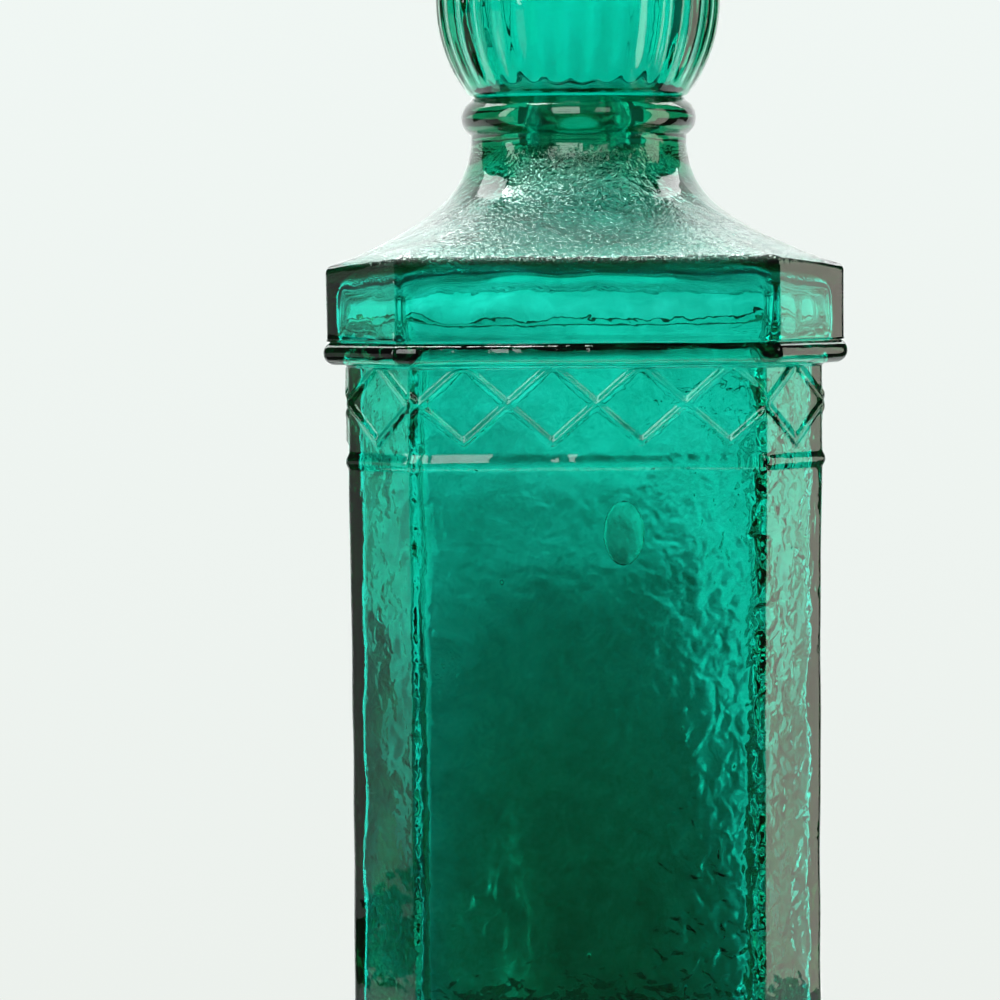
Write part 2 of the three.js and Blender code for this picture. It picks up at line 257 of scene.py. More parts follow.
def glass_piece(name, points, faces, material, body, node):
    """A smooth mesh that stands for one node of the frame."""
    mesh = bpy.data.meshes.new(name)
    mesh.from_pydata((points * MM).tolist(), [], faces)
    mesh.shade_smooth()
    mesh.materials.append(material)
    piece = bpy.data.objects.new(name, mesh)
    bpy.context.collection.objects.link(piece)
    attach(piece, body)
    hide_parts(node)
    return piece


def outward(points, faces):
    """Direction that the skin faces at each of its points."""
    mesh = bpy.data.meshes.new("scratch")
    mesh.from_pydata(points.tolist(), [], faces)
    facing = np.zeros(len(points) * 3)
    mesh.vertex_normals.foreach_get("vector", facing)
    bpy.data.meshes.remove(mesh)
    return facing.reshape(-1, 3)


def ripple(points, shortest, longest, waves, seed):
    """Gentle uneven swell of hand-worked glass, about -1 to 1, as a sum of waves."""
    draw = np.random.default_rng(seed)
    height = np.zeros(len(points))
    for length in np.geomspace(shortest, longest, waves):
        way = draw.normal(size=3)
        way /= np.linalg.norm(way)
        height += np.sin(points @ way * (2 * math.pi / length) + draw.uniform(0, 2 * math.pi))
    return height / math.sqrt(waves)


# Outside of the bottle

def flank(z):
    """Half width of the body from heel to ridge: slimmest a third of the way up."""
    heights = [HEEL_RADIUS, SLIM_HEIGHT, RIDGE_Z - RIDGE_HEIGHT / 2]
    return np.polyval(np.polyfit(heights, [FOOT_HALF, SLIM_HALF, BODY_HALF], 2), z)


def ridge(z):
    """How far the ridge under the diamonds stands out at a height."""
    way = np.clip(np.abs(z - RIDGE_Z) / (RIDGE_HEIGHT / 2), 0, 1)
    return RIDGE_PROUD * (1 - way ** 2) ** RIDGE_POWER


def shoulder():
    """Hollow curve from the eave up to the waist, as (half width, height), and its direction."""
    a = np.array([EAVE_HALF, EAVE_Z])
    b = np.array([EAVE_HALF - SHOULDER_RUN, EAVE_Z + SHOULDER_RUN * SHOULDER_SLOPE])
    c = np.array([NECK_RADIUS + WAIST_FLARE, WAIST_Z - WAIST_DROP])
    d = np.array([NECK_RADIUS, WAIST_Z])
    t = np.linspace(0, 1, SHOULDER_RINGS)[:, None]
    s = 1 - t
    curve = s ** 3 * a + 3 * s * s * t * b + 3 * s * t * t * c + t ** 3 * d
    run = s * s * (b - a) + 2 * s * t * (c - b) + t * t * (d - c)
    return curve, run / np.linalg.norm(run, axis=1, keepdims=True)


def cut_at(half):
    """Corner cut of the body and cornice, which grows with the half width."""
    return CORNER_CUT + (half - BODY_HALF) * (CORNICE_CUT - CORNER_CUT) / (CORNICE_HALF - BODY_HALF)


def diamond_face(face):
    """Distance from the axis, pitch and sideways shift of the diamonds on a side or a cut corner."""
    on_corner = face % 2
    if on_corner:
        return (2 * BODY_HALF - CORNER_CUT) / math.sqrt(2), CORNER_CUT * math.sqrt(2), 0.0
    pitch = 2 * (BODY_HALF - CORNER_CUT) / DIAMONDS_PER_FACE
    return BODY_HALF, pitch, pitch / 2 - DIAMOND_SHIFT


def with_diamonds(ring):
    """Raise the crossing ribs of the diamond band on a ring."""
    middle_z = BODY_HEIGHT - DIAMOND_HEIGHT / 2
    best = np.full(len(ring), -np.inf)
    facing = np.zeros((len(ring), 2))
    raised = np.zeros(len(ring))
    for face in range(BAND_FACES):
        turn = face * 2 * math.pi / BAND_FACES
        out = np.array([math.sin(turn), -math.cos(turn)])
        along = np.array([math.cos(turn), math.sin(turn)])
        distance, pitch, shift = diamond_face(face)
        u = ring[:, :2] @ along + shift
        u -= np.round(u / pitch) * pitch
        v = ring[:, 2] - middle_z
        slant = math.hypot(2 / pitch, 2 / DIAMOND_HEIGHT)
        off = np.abs(np.abs(u) * 2 / pitch + np.abs(v) * 2 / DIAMOND_HEIGHT - 1) / slant
        height = RIB_PROUD * (1 - np.clip(off / RIB_HALF_WIDTH, 0, 1) ** 2) ** 2
        over = ring[:, :2] @ out - distance
        nearer = over > best
        best[nearer] = over[nearer]
        raised[nearer] = height[nearer]
        facing[nearer] = out
    ring = ring.copy()
    ring[:, :2] += facing * raised[:, None]
    return ring


def plain_rings(outline):
    """Rings of the body or cornice for an outline of (half width, height)."""
    return [cut_square(z, half, cut_at(half)) for half, z in outline]


def underside():
    """Rings of the kick and of the flat rim round it."""
    rings = []
    for tilt in np.radians(KICK_TILTS):
        rings.append(round_square(KICK_DEPTH * math.sin(tilt), KICK_HALF * math.cos(tilt), KICK_CORNER))
    heel_start = FOOT_HALF - HEEL_RADIUS
    return rings + plain_rings([((KICK_HALF + heel_start) / 2, 0)])


def sides():
    """Rings of the heel, the flanks and the ridge."""
    ridge_low, ridge_high = RIDGE_Z - RIDGE_HEIGHT / 2, RIDGE_Z + RIDGE_HEIGHT / 2
    outline = [arc(FOOT_HALF - HEEL_RADIUS, HEEL_RADIUS, HEEL_RADIUS, -90, 0, HEEL_RINGS)]
    flanks = np.linspace(FLANK_LOW, ridge_low - RIDGE_GAP, FLANK_RINGS)
    for z in (flanks, np.linspace(ridge_low, ridge_high, RIDGE_RINGS)):
        outline.append(np.column_stack([flank(z) + ridge(z), z]))
    return plain_rings(np.concatenate(outline))


def diamond_band():
    """Rings of the band, with fine points where the diamonds are."""
    low = RIDGE_Z + RIDGE_HEIGHT / 2 + BAND_GAP
    high = BODY_HEIGHT - BAND_GAP
    rings = [cut_square(low, BODY_HALF, CORNER_CUT, count=PLAIN_COUNT * 2)]
    for z in np.linspace(low + BAND_STEP, high - BAND_STEP, BAND_RINGS):
        rings.append(with_diamonds(cut_square(z, BODY_HALF, CORNER_CUT, count=FINE_COUNT)))
    rings.append(cut_square(high, BODY_HALF + BAND_FLARE, CORNER_CUT, count=PLAIN_COUNT * 2))
    return rings


def cornice():
    """Rings of the fillet under the cornice, the bead along its foot, its face and its eave."""
    bead_x = CORNICE_HALF + CORNICE_BEAD_PROUD - CORNICE_BEAD_RADIUS
    bead_z = BODY_HEIGHT + CORNICE_BEAD_RADIUS
    bead_top = bead_z + CORNICE_BEAD_RADIUS
    eave_z = EAVE_Z - EAVE_ROUND_DROP
    fillet_x, fillet_z = BODY_HALF + FILLET_OUT, BODY_HEIGHT - FILLET_RADIUS
    fillet = arc(fillet_x, fillet_z, FILLET_RADIUS, *FILLET_TURN, FILLET_RINGS)
    bead = arc(bead_x, bead_z, CORNICE_BEAD_RADIUS, *CORNICE_BEAD_TURN, BEAD_RINGS)
    face = [(CORNICE_HALF + FACE_EASE, bead_top - FACE_EASE)]
    for z in np.linspace(bead_top + FACE_GAP, eave_z - FACE_GAP, FACE_RINGS):
        face.append((CORNICE_HALF, z))
    eave = arc(CORNICE_HALF - EAVE_ROUND, eave_z, EAVE_ROUND, 0, EAVE_TURN, EAVE_RINGS)
    return plain_rings(np.concatenate([fillet, bead, face, eave]))


def neck_and_lip():
    """Rings of the shoulder, the neck and the lip bead."""
    rings = []
    curve, _ = shoulder()
    for half, z in curve[1:]:
        way = (EAVE_HALF - half) / (EAVE_HALF - NECK_RADIUS)
        rings.append(cut_square(z, half, half * EAVE_CUT / EAVE_HALF, way ** SHOULDER_ROUNDING))
    tilt = math.degrees(math.acos((NECK_RADIUS - LIP_BEAD_CORE) / LIP_BEAD_RADIUS))
    lip = arc(LIP_BEAD_CORE, LIP_BEAD_Z, LIP_BEAD_RADIUS, -tilt, tilt, LIP_RINGS)
    flat = [(NECK_RADIUS - inwards, LIP_Z - down) for inwards, down in LIP_STEPS]
    for half, z in np.concatenate([lip, flat]):
        rings.append(cut_square(z, half, half * CORNICE_CUT / EAVE_HALF, 1))
    return rings


# Inside of the bottle

def bore(z):
    """Radius of the tapered bore at a height."""
    return BORE_RADIUS - BORE_TAPER * (LIP_Z - z)


def hollow(z, half, cut, roundness=0.0):
    """Ring of the inside, with wider rounded edges."""
    return cut_square(z, half, cut, roundness, edge=INNER_EDGE)


def bulged(ring):
    """Thicken the middle of each wall towards the base, as thick glass sags when it is blown."""
    x, y, z = ring.T
    reach = np.maximum(np.abs(x), np.abs(y))
    flat = reach * (1 - INNER_CUT / INNER_HALF)
    across = np.clip(np.minimum(np.abs(x), np.abs(y)) / flat, 0, 1)
    sag = BULGE * (1 - across ** 2) ** BULGE_POWER
    depth = sag * (1 - smooth(z, *BULGE_FADE)) * reach / INNER_HALF
    ring = ring.copy()
    wide = np.abs(x) >= np.abs(y)
    ring[:, 0] -= np.where(wide, np.sign(x) * depth, 0)
    ring[:, 1] -= np.where(wide, 0, np.sign(y) * depth)
    return ring


def mouth_and_bore():
    """Rings from the rounded mouth down to the waist."""
    mouth = arc(BORE_RADIUS + MOUTH_ROUND, LIP_Z - MOUTH_ROUND, MOUTH_ROUND, 90, 180, MOUTH_RINGS)
    throat = [(bore(z), z) for z in np.linspace(LIP_Z - BORE_START, WAIST_Z, BORE_RINGS)]
    outline = np.concatenate([mouth, throat])
    return [hollow(z, radius, radius * INNER_CUT / INNER_HALF, 1) for radius, z in outline]


def under_the_roof():
    """Rings from the waist down to the cornice, a wall's thickness under the shoulder."""
    rings = []
    neck_half = bore(WAIST_Z)
    ways = np.linspace(0, 1, SHOULDER_RINGS)
    for (x, z), (dx, dz), way in reversed(list(zip(*shoulder(), ways))):
        wall = ROOF_WALL + (NECK_WALL - ROOF_WALL) * way ** NECK_WALL_GROWTH
        half = softer_of(INNER_CORNICE_HALF, x - wall * dz, INNER_EAVE_ROUND)
        roundness = (INNER_CORNICE_HALF - half) / (INNER_CORNICE_HALF - neck_half)
        cut = half * INNER_CORNICE_CUT / INNER_CORNICE_HALF
        rings.append(hollow(z + wall * dx, half, cut, roundness))
    return rings


def walls_and_floor(top):
    """Rings from the cornice down the walls to the middle of the floor."""
    rings = []
    corner_z = FLOOR_THICKNESS + FLOOR_CORNER
    heights = np.linspace(top - INNER_WALL_TOP_GAP, corner_z + INNER_WALL_FLOOR_GAP, INNER_WALL_RINGS)
    for z in heights:
        wider = smooth(z, *INNER_CORNICE_EASE)
        half = INNER_HALF + (INNER_CORNICE_HALF - INNER_HALF) * wider
        cut = INNER_CUT + (INNER_CORNICE_CUT - INNER_CUT) * wider
        rings.append(bulged(hollow(z, half, cut)))
    outline = arc(INNER_HALF - FLOOR_CORNER, corner_z, FLOOR_CORNER, 0, -90, FLOOR_RINGS).tolist()
    floor_half = outline[-1][0]
    outline += [(floor_half * share, FLOOR_THICKNESS) for share in FLOOR_SHARES]
    for half, z in outline:
        rings.append(bulged(hollow(z, half, half * INNER_CUT / INNER_HALF)))
    return rings


# Bottle

def eave_lift(points):
    """How far the eave rises on the front and back, falling to nothing over the cut corners."""
    x, y, z = np.abs(points[:, 0]), np.abs(points[:, 1]), points[:, 2]
    facing = np.clip((y - x + CORNICE_CUT) / (2 * CORNICE_CUT), 0, 1)
    near = smooth(z, *EAVE_RISE_IN) * (1 - smooth(z, *EAVE_RISE_OUT))
    return EAVE_RISE * facing * near


def bottle_waves(points, is_inside):
    """How far the waves move each point: a faint drift outside, a rougher swell inside."""
    x, y, z = points.T
    on_wall = smooth(z, *WAVES_IN) * (1 - smooth(z, *WAVES_OUT))
    patches = smooth(ripple(points, *PATCH_WAVES), *PATCH_EASE)
    streaky = smooth(x, *STREAK_RIGHT) * smooth(-y, *STREAK_FRONT) * (1 - smooth(z, *STREAK_FADE))
    short_height = SHORT_HEIGHT + SHORT_PATCH_HEIGHT * patches
    swell = LONG_HEIGHT * ripple(points, *LONG_WAVES)
    swell += short_height * ripple(points * SHORT_STRETCH, *SHORT_WAVES)
    swell += STREAK_HEIGHT * streaky * ripple(points * STREAK_STRETCH, *STREAK_WAVES)
    drift = OUTER_HEIGHT * ripple(points, *OUTER_WAVES)
    return np.where(is_inside, swell, drift) * on_wall


def bubbles():
    """Centre and size of each bubble."""
    found = [(BUBBLE_PLACE, BUBBLE_SIZE)]
    draw = np.random.default_rng(SMALL_BUBBLE_SEED)
    for _ in range(SMALL_BUBBLES):
        across = draw.uniform(*SMALL_BUBBLE_ACROSS)
        size = draw.uniform(*SMALL_BUBBLE_SIZES)
        side = draw.choice([-1, 1])
        wall = side * (BODY_HALF - (BODY_HALF - INNER_HALF) * draw.uniform(*SMALL_BUBBLE_DEPTHS))
        x, y = (across, wall) if draw.uniform() < 0.5 else (wall, across)
        z = draw.uniform(*SMALL_BUBBLE_HEIGHTS)
        found.append(((x, y, z), (size, size, size * draw.uniform(*SMALL_BUBBLE_STRETCH))))
    return found


def bubble_skin(centre, size, first):
    """Points and faces of a small hollow in the glass, facing into the hollow."""
    tilts = np.linspace(-math.pi / 2, math.pi / 2, BUBBLE_UP + 1)[1:-1]
    rings = [circle(math.sin(t), math.cos(t), BUBBLE_AROUND) for t in tilts]
    points, faces = skin_over(rings, (0, 0, -1), (0, 0, 1), first)
    points = points * np.array(size) + np.array(centre)
    return points, [tuple(reversed(f)) for f in faces]


def make_bottle(material):
    """Blown vessel: one skin over its outside and inside, with bubbles in its walls."""
    outside = underside() + sides() + diamond_band() + cornice() + neck_and_lip()
    inside = mouth_and_bore() + under_the_roof()
    inside += walls_and_floor(inside[-1][0, 2])
    points, faces = skin_over(outside + inside, (0, 0, KICK_DEPTH), (0, 0, FLOOR_THICKNESS))
    points[:, 2] += eave_lift(points)
    is_inside = np.arange(len(points)) >= 1 + sum(len(ring) for ring in outside)
    moved = points + outward(points, faces) * bottle_waves(points, is_inside)[:, None]
    skins = [moved]
    for centre, size in bubbles():
        extra, more = bubble_skin(centre, size, sum(len(p) for p in skins))
        skins.append(extra)
        faces = faces + more
    points = np.concatenate(skins)
    bottle = glass_piece("bottle_glass", points, faces, material, "vessel", "bottle")
    marks = np.zeros(len(points))
    marks[:len(moved)] = is_inside
    bottle.data.attributes.new("inside", "FLOAT", "POINT").data.foreach_set("value", marks)


# Stopper

def ball_hollow(count):
    """Rings of the ball's hollow from its top down to the peg's hole."""
    radius = BALL_RADIUS - BALL_RIB_DEPTH - BALL_WALL
    half = BALL_HALF_HEIGHT - BALL_WALL
    lowest = -math.acos(PEG_HOLE / radius)
    rings = []
    for tilt in np.linspace(math.pi / 2, lowest, BALL_HOLLOW_RINGS + 1)[1:]:
        z = max(BALL_Z + half * math.sin(tilt), UNDERSIDE_Z + BALL_FLOOR)
        rings.append(circle(z, radius * math.cos(tilt), count))
    return rings


def peg(count):
    """Rings down the peg's hole, round its foot and up its outside."""
    foot = PEG_FOOT_Z + PEG_ROUND
    outline = [(PEG_HOLE, z) for z in np.linspace(UNDERSIDE_Z, foot + PEG_HOLE_GAP, PEG_RINGS)]
    outline += arc(PEG_HOLE + PEG_ROUND, foot, PEG_ROUND, 180, 270, PEG_ROUND_RINGS).tolist()
    outline += arc(PEG_FOOT_RADIUS - PEG_ROUND, foot, PEG_ROUND, -90, 0, PEG_ROUND_RINGS).tolist()
    for t in np.linspace(*PEG_SHARES, PEG_RINGS):
        radius = PEG_FOOT_RADIUS + (PEG_TOP_RADIUS - PEG_FOOT_RADIUS) * t
        outline.append((radius, PEG_FOOT_Z + (UNDERSIDE_Z - PEG_FOOT_Z) * t))
    return [circle(z, radius, count) for radius, z in outline]


def ball_outside(count):
    """Rings of the ball's flat underside, and of its ribbed outside up to the top."""
    low = -math.asin((BALL_Z - UNDERSIDE_Z) / BALL_HALF_HEIGHT)
    edge = BALL_RADIUS * math.cos(low)
    flat = np.linspace(PEG_TOP_RADIUS + UNDERSIDE_IN, edge - UNDERSIDE_OUT, UNDERSIDE_RINGS)
    rings = [circle(UNDERSIDE_Z, radius, count) for radius in flat]
    groove = (1 - np.cos(np.arange(count) * 2 * math.pi / BALL_RIB_POINTS)) / 2
    for tilt in np.linspace(low + BALL_START_TILT, math.pi / 2, BALL_RINGS + 1)[:-1]:
        inset = BALL_RIB_DEPTH * smooth(math.cos(tilt), *BALL_RIB_FADE) * groove
        ring = circle(BALL_Z + BALL_HALF_HEIGHT * math.sin(tilt), 1, count)
        ring[:, :2] *= (BALL_RADIUS * math.cos(tilt) - inset)[:, None]
        rings.append(ring)
    return rings


def make_ball(material):
    """Ribbed hollow ball with its flat underside and the hollow peg, as one skin."""
    count = BALL_RIBS * BALL_RIB_POINTS
    top = BALL_Z + BALL_HALF_HEIGHT
    rings = ball_hollow(count) + peg(count) + ball_outside(count)
    points, faces = skin_over(rings, (0, 0, top - BALL_WALL), (0, 0, top))
    is_inside = np.arange(len(points)) < 1 + BALL_HOLLOW_RINGS * count
    swell = BALL_WAVE_HEIGHT * ripple(points, *BALL_WAVES) * smooth(points[:, 2], *BALL_WAVES_IN)
    swell *= np.where(is_inside, 1, BALL_OUTER_SHARE)
    points = points + outward(points, faces) * swell[:, None]
    glass_piece("ball_stopper", points, faces, material, "stopper", "stopper")


def make_sleeve(material):
    """Thin clear sleeve with sealing fins, as a closed ring."""
    def outer(z):
        return bore(z) - SLEEVE_GAP - SLEEVE_FIN_PROUD

    pitch = (SLEEVE_TOP_Z - SLEEVE_FOOT_Z) / SLEEVE_FINS
    outline = []
    for z in np.linspace(SLEEVE_FOOT_Z, SLEEVE_TOP_Z, SLEEVE_OUTER_RINGS):
        way = ((z - SLEEVE_FOOT_Z) / pitch) % 1 - 0.5
        fin = SLEEVE_FIN_PROUD * (1 - smooth(abs(way), *SLEEVE_FIN_EASE))
        outline.append((outer(z) + fin, z))
    for z in np.linspace(SLEEVE_TOP_Z, SLEEVE_FOOT_Z, SLEEVE_INNER_RINGS):
        outline.append((outer(z) - SLEEVE_WALL, z))
    points = np.concatenate([circle(z, radius, SLEEVE_COUNT) for radius, z in outline])
    faces = []
    for k in range(len(outline)):
        low, high = k * SLEEVE_COUNT, (k + 1) % len(outline) * SLEEVE_COUNT
        for i in range(SLEEVE_COUNT):
            j = (i + 1) % SLEEVE_COUNT
            faces.append((low + i, low + j, high + j, high + i))
    glass_piece("peg_sleeve", points, faces, material, "sleeve", "stopper_sleeve")


# Shader nodes

def add_node(tree, kind, place, **values):
    """Add a node at a place in its tree; the other values are properties of the node."""
    made = tree.nodes.new(kind)
    made.location = place
    for key, value in values.items():
        setattr(made, key, value)
    return made


def feed(tree, socket, value):
    """Link an output to an input, or set the input to a plain value."""
    if isinstance(value, bpy.types.NodeSocket):
        tree.links.new(value, socket)
    else:
        socket.default_value = value


def arithmetic(tree, place, operation, *values):
    """Result of a Math node; each value is an output or a number."""
    made = add_node(tree, "ShaderNodeMath", place, operation=operation)
    for socket, value in zip(made.inputs, values):
        feed(tree, socket, value)
    return made.outputs[0]


def map_range(tree, place, value, start, stop, first=0.0, last=1.0, kind="LINEAR"):
    """Value that goes from first to last while another goes from start to stop."""
    made = add_node(tree, "ShaderNodeMapRange", place, interpolation_type=kind)
    limits = {"Value": value, "From Min": start, "From Max": stop, "To Min": first, "To Max": last}
    for name, limit in limits.items():
        feed(tree, made.inputs[name], limit)
    return made.outputs[0]


def ramp(tree, place, value, stops):
    """Colour between two stops, each one a position and a colour."""
    made = add_node(tree, "ShaderNodeValToRGB", place)
    for (position, colour), element in zip(stops, made.color_ramp.elements):
        element.position = position
        element.color = (*colour, 1)
    feed(tree, made.inputs["Fac"], value)
    return made.outputs["Color"]


def coordinates(tree, place, kind="Object"):
    """Outputs X, Y and Z of a texture coordinate."""
    source = add_node(tree, "ShaderNodeTexCoord", place)
    split = add_node(tree, "ShaderNodeSeparateXYZ", (place[0] + 200, place[1]))
    tree.links.new(source.outputs[kind], split.inputs[0])
    return split.outputs


def mix_shaders(tree, place, share, first, second):
    """Shader that goes from the first to the second as the share goes from 0 to 1."""
    made = add_node(tree, "ShaderNodeMixShader", place)
    for socket, value in zip(made.inputs, (share, first, second)):
        feed(tree, socket, value)
    return made.outputs[0]


# Finishes

# Inputs of the uneven skin with their usual values, sizes in millimetres, and its outputs
SKIN_INPUTS = {"Pebble Size": 3.0, "Pebble Mask": 1.0, "Streak Size": 14.0, "Speck Size": 0.7}
SKIN_OUTPUTS = ("Height", "Haze", "Streak")
SPECK_EDGE = (0.55, 0.75)

# Heights where each finish starts, is full, starts to fade and ends
UNDER_BASE = (-20, -10)
BODY_TINT = (*UNDER_BASE, EAVE_Z - 2, EAVE_Z + 5)
SLOPE_BLOOM = (EAVE_Z - 0.4, EAVE_Z + 2, EAVE_Z + 5, EAVE_Z + 12)
ROOF_STIPPLE = (EAVE_Z - 0.4, EAVE_Z + 2, EAVE_Z + 7, EAVE_Z + 13)
NECK_STIPPLE = (EAVE_Z + 7, EAVE_Z + 13, WAIST_Z - 5, WAIST_Z + 1)
THROAT_GRAIN = (EAVE_Z + 2, EAVE_Z + 7, WAIST_Z - 5, WAIST_Z)
WALL_PEEL = (*UNDER_BASE, BODY_HEIGHT - 8, BODY_HEIGHT + 3)

# The neck's stipple fades away from the middle; the wall's peel grows to the right
NECK_STIPPLE_FADE = (8, 15)
PEEL_GROWTH, PEEL_LEAST = (2, 22), 0.35

# Sizes of the pebbles, and their depths in the bump
UNEVEN_SIZE, UNEVEN_STREAK_SIZE, STIPPLE_SIZE, GRAIN_SIZE, PEEL_SIZE = 4.0, 9.0, 1.0, 1.4, 3.0
UNEVEN_DEPTH, STIPPLE_DEPTH, GRAIN_DEPTH, PEEL_DEPTH = 0.08, 0.75, 0.5, 1.2

# Tints as (position, colour), and the glass itself
STREAK_TINTS = [(0.36, (0.58, 0.80, 0.77)), (0.64, (0.90, 1.0, 1.0))]
# The tints by height are painted shade: the body is darker towards its base.
PAINTED_SHADE_TINTS = [(0.1, (0.62, 0.95, 0.88)), (1.0, (0.78, 1.0, 0.95))]
CLEAR_TINT = (0.9, 1, 1, 1)
GLASS_INDEX = 1.5
GLASS_ABSORPTION = (0.0, 0.915, 0.868, 1)
BOTTLE_DENSITY, BALL_DENSITY = 570, 950
GLASS_ROUGHNESS = (0.012, 0.15)
HAZE_COAT, SLOPE_COAT, COAT_ROUGHNESS = 0.6, 0.7, 0.45

# Clear plastic of the sleeve
SLEEVE_TINTS = [(0.3, (0.93, 0.95, 0.94)), (0.7, (0.99, 1.0, 1.0))]
SLEEVE_INDEX = 1.45
SLEEVE_ROUGHNESS = (0.12, 0.25)
SLEEVE_BUMP = 0.05

# Sockets of a Mix node that mixes colours
MIX_FACTOR, MIX_FIRST, MIX_SECOND, MIX_RESULT = 0, 6, 7, 2


def mould_skin():
    """Uneven skin of pressed glass: pebbles, drifting streaks and fine specks."""
    group = bpy.data.node_groups.new("mould_skin", "ShaderNodeTree")
    for name, value in SKIN_INPUTS.items():
        socket = group.interface.new_socket(name, in_out="INPUT", socket_type="NodeSocketFloat")
        socket.default_value = value
    for name in SKIN_OUTPUTS:
        group.interface.new_socket(name, in_out="OUTPUT", socket_type="NodeSocketFloat")
    inputs = add_node(group, "NodeGroupInput", (-900, 0)).outputs
    outputs = add_node(group, "NodeGroupOutput", (700, 0)).inputs
    place = add_node(group, "ShaderNodeTexCoord", (-900, 300))

    def noise(size, y, detail, distortion):
        made = add_node(group, "ShaderNodeTexNoise", (-400, y))
        per_metre = arithmetic(group, (-650, y), "DIVIDE", 1 / MM, inputs[size])
        feed(group, made.inputs["Vector"], place.outputs["Object"])
        feed(group, made.inputs["Scale"], per_metre)
        feed(group, made.inputs["Detail"], detail)
        feed(group, made.inputs["Distortion"], distortion)
        return made.outputs["Fac"]

    pebbles = noise("Pebble Size", 300, detail=1.5, distortion=0.4)
    streaks = noise("Streak Size", 0, detail=2.0, distortion=1.2)
    specks = noise("Speck Size", -300, detail=1.0, distortion=0.0)
    spots = map_range(group, (-100, -300), specks, *SPECK_EDGE)
    mask = inputs["Pebble Mask"]
    feed(group, outputs["Height"], arithmetic(group, (-100, 300), "MULTIPLY", pebbles, mask))
    feed(group, outputs["Haze"], arithmetic(group, (200, -200), "MULTIPLY", spots, mask))
    feed(group, outputs["Streak"], streaks)
    return group


def use_skin(tree, skin, place, values):
    """Outputs of one use of the uneven skin, with values for some of its inputs."""
    made = add_node(tree, "ShaderNodeGroup", place, node_tree=skin)
    for name, value in values.items():
        feed(tree, made.inputs[name], value)
    return made.outputs


def new_clear(name, index):
    """Material of a clear solid, with its node tree and the inputs of its shader."""
    material = bpy.data.materials.new(name)
    material.use_nodes = True
    tree = material.node_tree
    shader = tree.nodes["Principled BSDF"].inputs
    shader["Transmission Weight"].default_value = 1
    shader["IOR"].default_value = index
    return material, tree, shader


def height_mask(tree, z, heights, y):
    """Mask between heights; y is the place of its nodes in the tree."""
    low, full, fading, high = [height * MM for height in heights]
    rise = map_range(tree, (-1100, y), z, low, full, kind="SMOOTHSTEP")
    fall = map_range(tree, (-1100, y + 250), z, fading, high, 1, 0, kind="SMOOTHSTEP")
    return arithmetic(tree, (-950, y), "MULTIPLY", rise, fall)


def side_mask(tree, x, sides, y, first, last):
    """Mask that goes from first to last between two distances sideways."""
    start, stop = [side * MM for side in sides]
    return map_range(tree, (-1100, y), x, start, stop, first, last, kind="SMOOTHSTEP")


def stipple_mask(tree, spot):
    """Where the outside is stippled: all over the roof, and on the front and back of the neck."""
    roof = height_mask(tree, spot["Z"], ROOF_STIPPLE, 900)
    neck = height_mask(tree, spot["Z"], NECK_STIPPLE, 2100)
    aside = arithmetic(tree, (-1300, 2000), "ABSOLUTE", spot["X"])
    front = side_mask(tree, aside, NECK_STIPPLE_FADE, 2600, 1, 0)
    return arithmetic(tree, (-900, 1100), "MULTIPLY_ADD", neck, front, roof)


def inner_heights(tree, skin, spot):
    """Heights of the bottle's inside with their depths: grains in the throat and peel on the walls."""
    inside = add_node(tree, "ShaderNodeAttribute", (-1100, -750), attribute_name="inside").outputs["Fac"]
    throat = height_mask(tree, spot["Z"], THROAT_GRAIN, -500)
    grain_mask = arithmetic(tree, (-950, -750), "MULTIPLY", throat, inside)
    growing = side_mask(tree, spot["X"], PEEL_GROWTH, -1000, PEEL_LEAST, 1)
    in_wall = arithmetic(tree, (-950, -1000), "MULTIPLY", growing, inside)
    walls = height_mask(tree, spot["Z"], WALL_PEEL, 1700)
    peel_mask = arithmetic(tree, (-850, -1000), "MULTIPLY", in_wall, walls)
    grains = use_skin(tree, skin, (-800, -500), {"Pebble Size": GRAIN_SIZE, "Pebble Mask": grain_mask})
    peel = use_skin(tree, skin, (-700, -900), {"Pebble Size": PEEL_SIZE, "Pebble Mask": peel_mask})
    return [(grains["Height"], GRAIN_DEPTH), (peel["Height"], PEEL_DEPTH)]


def glass_tint(tree, z, streak):
    """Faint tint of the body, darker towards its base as painted shade and in drifting streaks; clear
    elsewhere.
    """
    streaks = ramp(tree, (-400, 300), streak, STREAK_TINTS)
    level = map_range(tree, (-1100, 700), z, 0, BODY_HEIGHT * MM)
    # Painted shade: the tint deepens from the top of the body down to its base.
    depths = ramp(tree, (-400, 550), level, PAINTED_SHADE_TINTS)
    both = add_node(tree, "ShaderNodeVectorMath", (-250, 500), operation="MULTIPLY")
    feed(tree, both.inputs[0], streaks)
    feed(tree, both.inputs[1], depths)
    made = add_node(tree, "ShaderNodeMix", (-150, 400), data_type="RGBA", blend_type="MULTIPLY")
    feed(tree, made.inputs[MIX_FACTOR], height_mask(tree, z, BODY_TINT, 1300))
    feed(tree, made.inputs[MIX_FIRST], CLEAR_TINT)
    feed(tree, made.inputs[MIX_SECOND], both.outputs[0])
    return made.outputs[MIX_RESULT]


def relief(tree, distance, heights):
    """Normal of a bump that adds up heights, each one an output and its depth."""
    total = 0.0
    for step, (height, depth) in enumerate(heights):
        total = arithmetic(tree, (-500, -250 - 150 * step), "MULTIPLY_ADD", height, depth, total)
    bump = add_node(tree, "ShaderNodeBump", (-300, -250))
    bump.inputs["Distance"].default_value = distance
    feed(tree, bump.inputs["Height"], total)
    return bump.outputs["Normal"]


